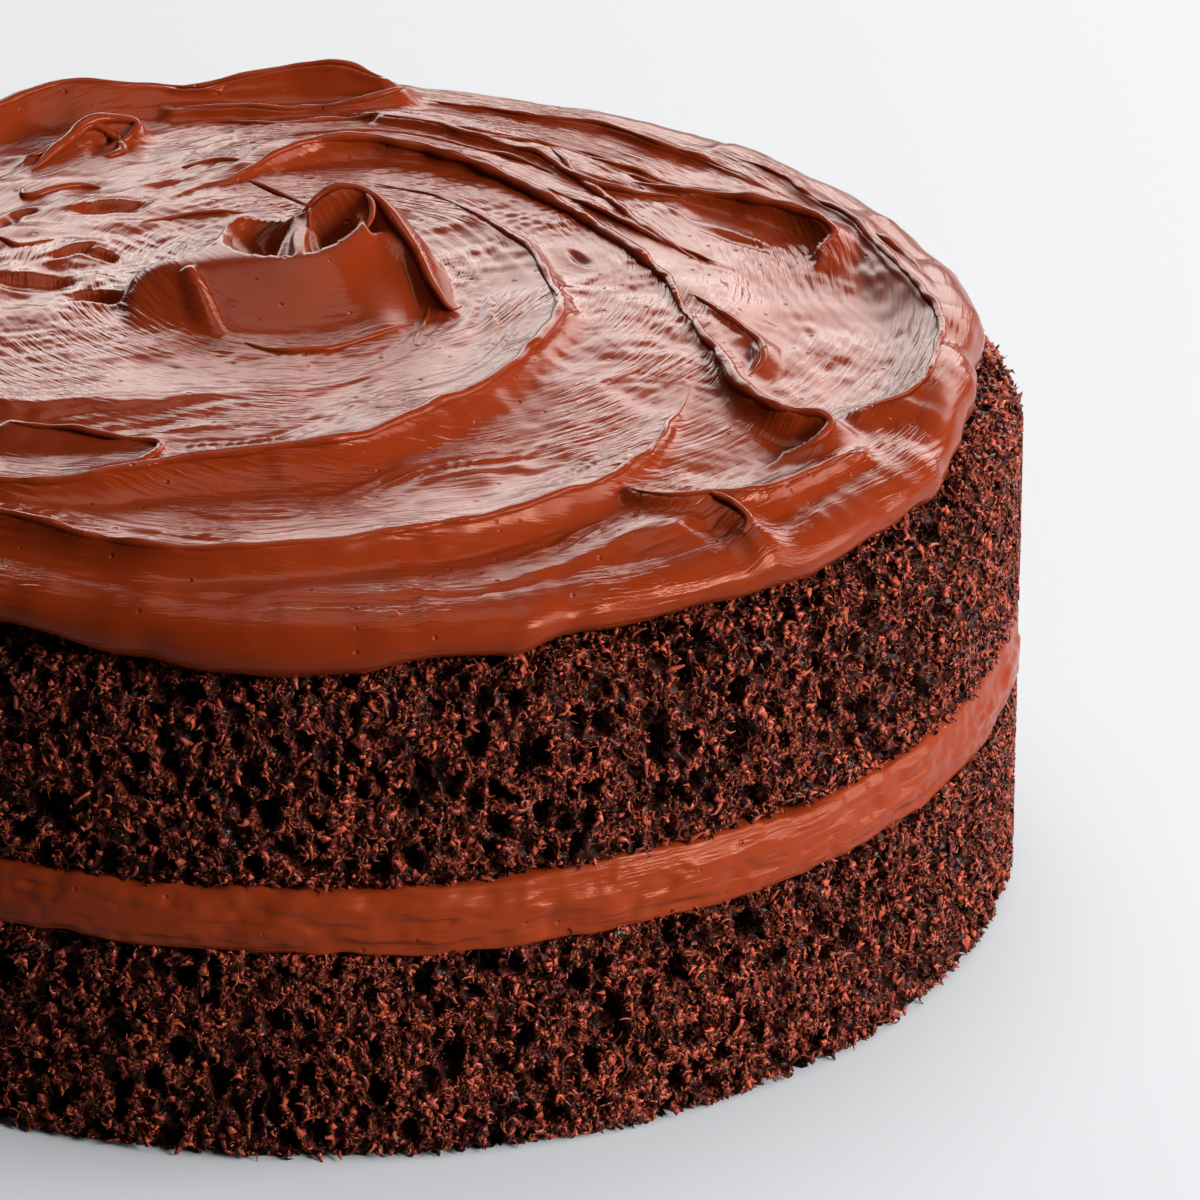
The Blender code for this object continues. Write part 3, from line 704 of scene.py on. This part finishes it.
def streaks(run, across, salt):
    """The smears of a stroke: long flakes that each tilt a little and end in a small step, so
    that they lie like shingles. Across the stroke the height is a sawtooth of the distance,
    bent by noise, whose size runs smoothly from 0 to 1 along each flake; wide noise adds to it."""
    bend = soft_noise(np.stack([run / 26, across / 7], 1), 1.0, salt)
    phase = across / 2.7 + 1.3 * bend
    flake = np.floor(phase)
    part = phase - flake
    saw = np.where(part < 0.82, part / 0.82, (1 - part) / 0.18)
    at = run / 15 + 0.37 * flake
    start = np.floor(at)
    blend = at - start
    blend = blend * blend * (3 - 2 * blend)
    size = 0
    for step, weight in ((0, 1 - blend), (1, blend)):
        cell = np.stack([start + step, flake], 1).astype(np.int64)
        size = size + weight * lattice_random(cell, salt + 1)
    return (saw - 0.5) * size ** 1.3 * 1.7 + 1.0 * bend


def wavering(x, y):
    """How far the plan's lines waver at each place, so that no crest is evenly curved."""
    place = np.stack([x, y], 1)
    return (0.8 * soft_noise(place, 11.0, 96) + 0.25 * soft_noise(place, 3.5, 97),
            0.8 * soft_noise(place, 11.0, 98) + 0.25 * soft_noise(place, 3.5, 99))


def calmness(x, y):
    """1 on the cup's front wall, which the knife left smooth, and 0 away from it."""
    return np.exp(-((x - CALM[0]) / CALM[2]) ** 4 - ((y - CALM[1]) / CALM[3]) ** 4)


def dent(x, y, middle_x, middle_y, half_long, half_wide, turn, depth):
    """An oval dent with a low lip round it, as a Gaussian less a wider one."""
    turn = math.radians(turn)
    along = ((x - middle_x) * math.cos(turn) + (y - middle_y) * math.sin(turn)) / half_long
    across = ((y - middle_y) * math.cos(turn) - (x - middle_x) * math.sin(turn)) / half_wide
    out = along ** 2 + across ** 2
    return depth * (0.45 * np.exp(-out / 2.5) - 1.3 * np.exp(-out ** 1.5))


def top_surface(x, y):
    """Height of the frosting over the plan, and how far each place leans sideways."""
    from_axis = np.hypot(x, y)
    place = np.stack([x, y], 1)
    waver = wavering(x, y)
    x, y = x + waver[0], y + waver[1]
    dome = smooth_step((from_axis - DOME_START) / DOME_RUN)
    floor = FLOOR - DOME_DROP * dome + BACK_LIFT * dome * (y / from_axis.clip(1) + 1) / 2
    floor = floor - PAN_DEPTH * np.exp(-(((x - 71) / 14) ** 4 + ((y + 10) / 26) ** 4))
    left_part = smooth_step((-22 - x) / 12) * smooth_step((y + 12) / 14)
    floor = floor + left_part * (0.8 * soft_noise(place, 12.0, 91) + 0.5 * soft_noise(place, 4.5, 92))
    for one in DENTS:
        floor = floor + dent(x, y, *one)
    swirl_x, swirl_y = x - CENTRE[0], y - CENTRE[1]
    angle, radius = compass(swirl_x, swirl_y), np.hypot(swirl_x, swirl_y)
    share = np.exp(BLEND * (floor - 88))
    total = share.copy()
    turned = np.radians(angle) * radius
    round_streak = streaks(np.where(angle < 180, turned, 400 - turned), radius + angle * 0.12, 101)
    streak = share * round_streak * smooth_step(np.abs(np.sin(np.radians(angle / 2))) / 0.15)
    lean = np.zeros((len(x), 2))
    for index, (left_slope, left_reach, right_slope, right_reach, points) in enumerate(STROKES):
        run, away, crest, left = beside(points, x, y)
        side = np.where(away >= 0,
                        stroke_side(away, crest, floor, left_slope, left_reach),
                        stroke_side(-away, crest, floor, right_slope, right_reach))
        share = np.exp(BLEND * (side - 88))
        total += share
        streak += share * streaks(run, away, 110 + 2 * index)
        steep = 1 if left_slope > right_slope else -1
        near = np.exp(-(away / 1.2) ** 2) * np.clip((crest - floor) / 3, 0, 1)
        lean = lean + left * (steep * 0.9 * near)[:, None]
    height = np.log(total) / BLEND + 88
    streaky = 0.35 + 0.65 * smooth_step(soft_noise(place, 15.0, 95) + 0.5)
    streaky *= 1 - 0.7 * calmness(x, y)
    mottle = 0.14 * smooth_step(soft_noise(place, 13.0, 73) + 0.6) * soft_noise(place, 2.3, 72)
    height = height + mottle + 0.5 * streaky * streak / total + 0.22 * soft_noise(place, 6.5, 93)
    edge, crest = smooth_through(CLIFF, 1, x), smooth_through(CLIFF, 2, x)
    within = smooth_step((x - CLIFF[0][0]) / 8) * smooth_step((CLIFF[-1][0] - x) / 5)
    level = LEVEL_REACH - LEVEL_SHORT * (1 - smooth_step((x + 22) / 9) + 1.4 * smooth_step((x - 1) / 5))
    inside = smooth_step((level - (y - edge)) / LEVEL_FADE)
    slope = (crest - CLIFF_FOOT) / (edge - smooth_through(CLIFF, 3, x)).clip(1)
    ahead = (edge - y + np.hypot(edge - y, CLIFF_ROUND)) / 2
    raised = height - 3 + (crest - height + 3) * inside
    raised -= slope * ahead * (1 + CLIFF_BOW * (1 - ahead / 12).clip(-1))
    mound = height - 3 + (raised - height + 3) * within
    _, end_away, end_crest, _ = beside(CLIFF_END, x, y)
    mound = np.maximum(mound, end_crest - 1.0 * (np.hypot(end_away, 0.9) - 0.9))
    cup_x, cup_y = x - CUP[0], y - CUP[1]
    angle, radius = compass(cup_x, cup_y), np.hypot(cup_x, cup_y)
    reach = radius / smooth_through(CUP_RIM, 1, angle)
    bottom = mound - (1 - reach ** 3).clip(0) * CUP_DEPTH
    fan_y = FAN[1] - y
    fan_x = (x - FAN[0]) / (FAN_START + FAN_SPREAD * fan_y.clip(0))
    fan = FAN[2] - FAN_FALL * fan_y - 2.6 * fan_x ** 2 + 0.45 * np.cos(FAN_FOLDS * fan_x)
    bottom = np.maximum(bottom, np.where(fan_y > 0, fan, 0))
    mound = np.where(reach < 1, np.minimum(bottom, mound), mound)
    height = np.log(np.exp(2.5 * (height - 88)) + np.exp(2.5 * (mound - 88))) / 2.5 + 88
    _, away, crest, _ = beside(RIBBON, x, y)
    outer = RIBBON_OUTER * away + RIBBON_BOW * away ** 2
    ribbon = crest - np.where(away > 0, outer, RIBBON_INNER * (np.hypot(away, 0.8) - 0.8))
    height = np.log(np.exp(3.5 * (height - 90)) + np.exp(3.5 * (ribbon - 90))) / 3.5 + 90
    return height, lean


def make_top():
    """The whole top: rings from the swirl's centre out to the rim's inner edge, raised by the
    height, then the rim as an ellipse down to its hanging lip, and flat underneath."""
    turn = np.linspace(0, 2 * math.pi, FROST_COLUMNS, endpoint=False)
    share = np.linspace(0, 1, FROST_ROWS)[1:] ** 0.92
    edge = smooth_through(OUTLINE, 1, compass(np.cos(turn), np.sin(turn))) - RIM_ROUND
    on_edge = 98 * np.stack([np.cos(turn), np.sin(turn)], -1)
    edge += 0.5 * soft_noise(on_edge, 17.0, 88) + 0.3 * soft_noise(on_edge, 5.0, 89)
    lobe = 1 - 2.2 * np.abs(soft_noise(on_edge, 15.0, 94))
    edge += 0.6 * lobe
    x = CENTRE[0] * (1 - share[:, None]) + share[:, None] * edge * np.cos(turn)
    y = CENTRE[1] * (1 - share[:, None]) + share[:, None] * edge * np.sin(turn)
    height, lean = top_surface(x.ravel(), y.ravel())
    fade = smooth_step((1 - share) / 0.04)[:, None]
    lean = lean.reshape(x.shape + (2,)) * fade[..., None]
    height = height.reshape(x.shape)
    top = np.stack([x + lean[..., 0], y + lean[..., 1], height], -1)
    middle = np.broadcast_to(top[0].mean(0), (1, FROST_COLUMNS, 3))
    inner = np.hypot(x[-1], y[-1])
    out = np.stack([x[-1], y[-1]], -1) / inner[:, None]
    inset = np.clip((inner - SPONGE_RADIUS + SHOULDER_ACROSS) / SHOULDER_ACROSS, 0, 1)
    shoulder = 75 - SHOULDER_DOWN * (1 - np.sqrt(1 - inset ** 2))
    hang = np.maximum(RIM_HANG, shoulder + 0.3) - 0.6 * lobe
    hang += 1.5 * smooth_step(0.5 + soft_noise(on_edge, 13.0, 90))
    rim = []
    for angle in np.radians([80, 70, 60, 50, 40, 30, 20, 10, 0, -12, -25, -40, -60, -90]):
        radius = inner + RIM_ROUND * math.cos(angle)
        level = (height[-1] + hang) / 2 + (height[-1] - hang) / 2 * math.sin(angle)
        rim.append(np.concatenate([out * radius[:, None], level[:, None]], 1))
    rim = np.array(rim)
    drawn = rim.reshape(-1, 3) * np.array([0.3, 0.3, 1])
    folds = 0.5 * soft_noise(drawn, 2.6, 86) + 0.3 * soft_noise(rim.reshape(-1, 3), 4.5, 87)
    folds = folds.reshape(rim.shape[:2]) * np.sin(np.linspace(0.2, math.pi, len(rim)))[:, None]
    rim[..., :2] += out * folds[..., None]
    under = np.concatenate([out * UNDERSIDE_RADIUS, np.full((FROST_COLUMNS, 1), UNDERSIDE)], 1)[None]
    rows = np.concatenate([middle, top, rim, under, under * np.array([0, 0, 1])])[::-1]
    piece = mesh_from_arrays("top_frosting_swirl", *ring_faces(rows))
    outwards = np.concatenate([top, rim, under])
    across = np.hypot(x - CENTRE[0], y - CENTRE[1])
    down = np.cumsum(np.linalg.norm(np.diff(outwards[len(top) - 1:], axis=0), axis=-1), axis=0)
    across = np.concatenate([across, across[-1] + down])
    stroke = stroke_space(outwards[..., 0], outwards[..., 1], across)[::-1].reshape(-1, 3)
    keep_vector(piece, "stroke", np.concatenate([stroke, np.zeros((2, 3))]))
    keep_patches(piece, "patch", 9.0, 79)
    calm = calmness(outwards[..., 0], outwards[..., 1])[::-1].ravel()
    keep_value(piece, "calm", np.concatenate([calm, [0, 0]]))
    return piece


top = make_top()
top.data.materials.append(frosting_material("swirled_frosting", (0.107, 0.0118, 0.0021), 0.13, 0.9))
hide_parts("top_frosting")
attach(top, "root")


# The thin lips that roll over along the crests, and the loose curls where the knife came away:
# round strands of the same frosting, swept along curves and drawn out thin at their ends. A lip
# is a stroke's number, its thickness and how far it leans; creases lie between the strokes.
LIPS = ((0, 0.9, 0.6), (1, 1.1, 0.6), (2, 0.8, 0.5), (4, 0.8, 0.4), (5, 1.1, 0.4), (6, 0.6, 0.3),
        (7, 0.7, 0.3), (8, 0.8, 0.3), (9, 1.05, 0.3), (10, 0.6, 0.3), (11, 0.7, 0.2), (12, 0.8, 0.3),
        (13, 0.8, 0.3), (14, 0.8, 0.3), (15, 0.7, 0.3), (16, 1.0, 0.2), (17, 0.6, 0.3))
CREASES = (
    (0.8, ((33, 55), (42, 34), (48, 21), (55, 10))),
    (0.6, ((40, 52), (46, 46), (56, 39), (61, 35), (74, 30))),
    (0.9, ((-46, 55), (-43, 60), (-40, 64), (-37, 67), (-33.5, 66.5), (-32, 61.5), (-34, 59.5), (-37, 60.5))),
    (0.8, ((-47, 47), (-46.5, 43.5), (-42, 45), (-38, 47), (-35, 46))),
    (0.6, ((-25, 73), (-17, 76), (-8, 73), (2, 74), (14, 70))),
    (0.6, ((-23, 52), (-19, 52.5), (-14, 51))),
    (0.8, ((81, 26), (85, 19), (87, 10))),
    (0.6, ((-56, 20), (-50, 24), (-46, 20), (-40, 22))),
    (0.5, ((20, 62), (32, 58), (44, 50), (52, 44))),
    (0.6, ((-15, 60), (0, 63), (14, 61), (24, 55), (34, 46))),
    (0.5, ((12, 66), (26, 62), (40, 52), (52, 45), (60, 40))),
    (0.5, ((-62, 44), (-57, 50), (-50, 53), (-46, 52))),
    (0.45, ((-30, 26), (-24, 30), (-16, 32), (-8, 31))),
    (0.7, ((-15, -17), (-12, -20), (-8, -22), (-3.5, -22), (1, -20.7), (7, -17), (11, -13.5))),
    (0.4, ((13.5, -8), (12.5, -14), (11.3, -18), (9.8, -24))),
)
CURLS = (
    (0.95, RIBBON + ((18.6, -8.6, 90.6),)),
    (0.5, ((-3.4, 13.2, 98.0), (-6.0, 15.2, 98.4), (-8.2, 17.2, 98.6), (-10.4, 19.2, 99.0),
           (-12.6, 20.0, 99.6))),
    (0.4, ((-3.2, 12.4, 98.0), (-3.4, 9.5, 97.4), (-3.3, 6, 96.0), (-3.4, 2.5, 94.8))),
    (0.55, ((5.0, 4.6, 97.9), (5.7, 7.4, 98.4), (5.8, 10.4, 99.0), (4.9, 13.6, 100.0))),
)
STRAND_SIDES, STRAND_STEP, FIRST_STRAND_SALT = 8, 0.7, 140


def strand(points, thick, lean, settled, salt):
    """A swept strand: rings round a smooth curve, thick in its middle and thin at its ends. A
    settled one takes its height from the frosting that it lies on."""
    run, core = drawn_out(points, STRAND_STEP)
    if settled:
        waver = wavering(core[:, 0], core[:, 1])
        core[:, :2] -= np.stack(waver, 1)
        core[:, 2] = top_surface(core[:, 0], core[:, 1])[0] + 0.15 * thick
        core[:, 2] = np.convolve(np.pad(core[:, 2], 2, "edge"), np.full(5, 0.2), "valid")
    way = np.gradient(core, axis=0)
    way /= np.linalg.norm(way, axis=1, keepdims=True)
    side = np.cross(way, [0, 0, 1.0])
    side /= np.linalg.norm(side, axis=1, keepdims=True)
    over = np.cross(side, way)
    core = core + side * lean
    core[:, 2] += 0.25 * soft_noise(np.stack([run, 0 * run], 1), 5.0, salt) - 0.2 * thick
    part = run / run[-1]
    size = thick * (1 - np.abs(2 * part - 1) ** 3).clip(0.04) ** 0.7
    size *= 1 + 0.35 * soft_noise(np.stack([run, 9 + 0 * run], 1), 3.5, salt)
    turn = np.linspace(0, 2 * math.pi, STRAND_SIDES, endpoint=False)
    ring = side[:, None] * np.cos(turn)[:, None] + over[:, None] * np.sin(turn)[:, None] * 0.8
    rows = core[:, None] + ring * size[:, None, None]
    return np.concatenate([rows[:1] * 0 + core[0], rows, rows[:1] * 0 + core[-1]])


def make_curls():
    """All strands in one mesh, each its own closed surface."""
    paths = []
    for index, thick, lean in LIPS:
        left_slope, _, right_slope, _, points = STROKES[index]
        towards = -1 if left_slope > right_slope else 1
        paths.append((points, thick, towards * lean, True))
    paths += [([(x, y, 0) for x, y in points], thick, 0, True) for thick, points in CREASES]
    paths += [(points, thick, 0, False) for thick, points in CURLS]
    verts, loops, sizes, count = [], [], [], 0
    for salt, path in enumerate(paths):
        places, corners, faces = ring_faces(strand(*path, FIRST_STRAND_SALT + salt))
        verts.append(places)
        loops.append(corners + count)
        sizes.append(faces)
        count += len(places)
    verts = np.concatenate(verts)
    piece = mesh_from_arrays("frosting_curls", verts, np.concatenate(loops), np.concatenate(sizes))
    keep_vector(piece, "stroke", verts / MM * np.array([0.3, 0.3, 0.8]))
    keep_patches(piece, "patch", 9.0, 79)
    return piece


curls = make_curls()
curls.data.materials.append(top.data.materials[0])
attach(curls, "root")


# The plain pale floor that the cake stands on.
floor_mesh = bpy.data.meshes.new("floor")
floor_mesh.from_pydata([(-6, -6, 0), (6, -6, 0), (6, 6, 0), (-6, 6, 0)], [], [(0, 1, 2, 3)])
floor = bpy.data.objects.new("floor", floor_mesh)
bpy.context.scene.collection.objects.link(floor)
floor_material = bpy.data.materials.new("pale_floor")
floor_material.use_nodes = True
floor_shader = floor_material.node_tree.nodes["Principled BSDF"]
floor_shader.inputs["Base Color"].default_value = (0.363, 0.373, 0.386, 1)
floor_shader.inputs["Roughness"].default_value = 0.7
floor_shader.inputs["Specular IOR Level"].default_value = 0.1
floor_mesh.materials.append(floor_material)


# The studio light: a wide, slightly warm window behind the cake, a soft ceiling, a window on
# the right, a brighter key at the front right, and a faint pale surround.
def add_soft_box(name, place, size, power, colour=(1, 1, 1)):
    """An area light in metres and watts that faces the cake."""
    light = bpy.data.lights.new(name, "AREA")
    light.shape = "RECTANGLE"
    light.size, light.size_y = size
    light.energy = power
    light.color = colour
    box = bpy.data.objects.new(name, light)
    box.location = place
    facing = Vector((0, 0, 0.07)) - Vector(place)
    box.rotation_euler = facing.to_track_quat("-Z", "Y").to_euler()
    bpy.context.scene.collection.objects.link(box)


add_soft_box("window_behind", (0.3, 1.35, 0.62), (2.2, 0.66), 31, (1, 0.95, 0.91))
add_soft_box("ceiling", (0.1, 0.1, 1.6), (1.3, 0.9), 16)
add_soft_box("window_right", (1.5, -0.2, 0.5), (0.9, 0.9), 35)
add_soft_box("key", (1.55, -1.25, 0.9), (0.7, 0.7), 88)
world = bpy.data.worlds.new("surround")
world.use_nodes = True
world.node_tree.nodes["Background"].inputs["Color"].default_value = (0.95, 0.97, 1.0, 1)
world.node_tree.nodes["Background"].inputs["Strength"].default_value = 0.06
bpy.context.scene.world = world
bpy.context.scene.view_settings.view_transform = "Standard"
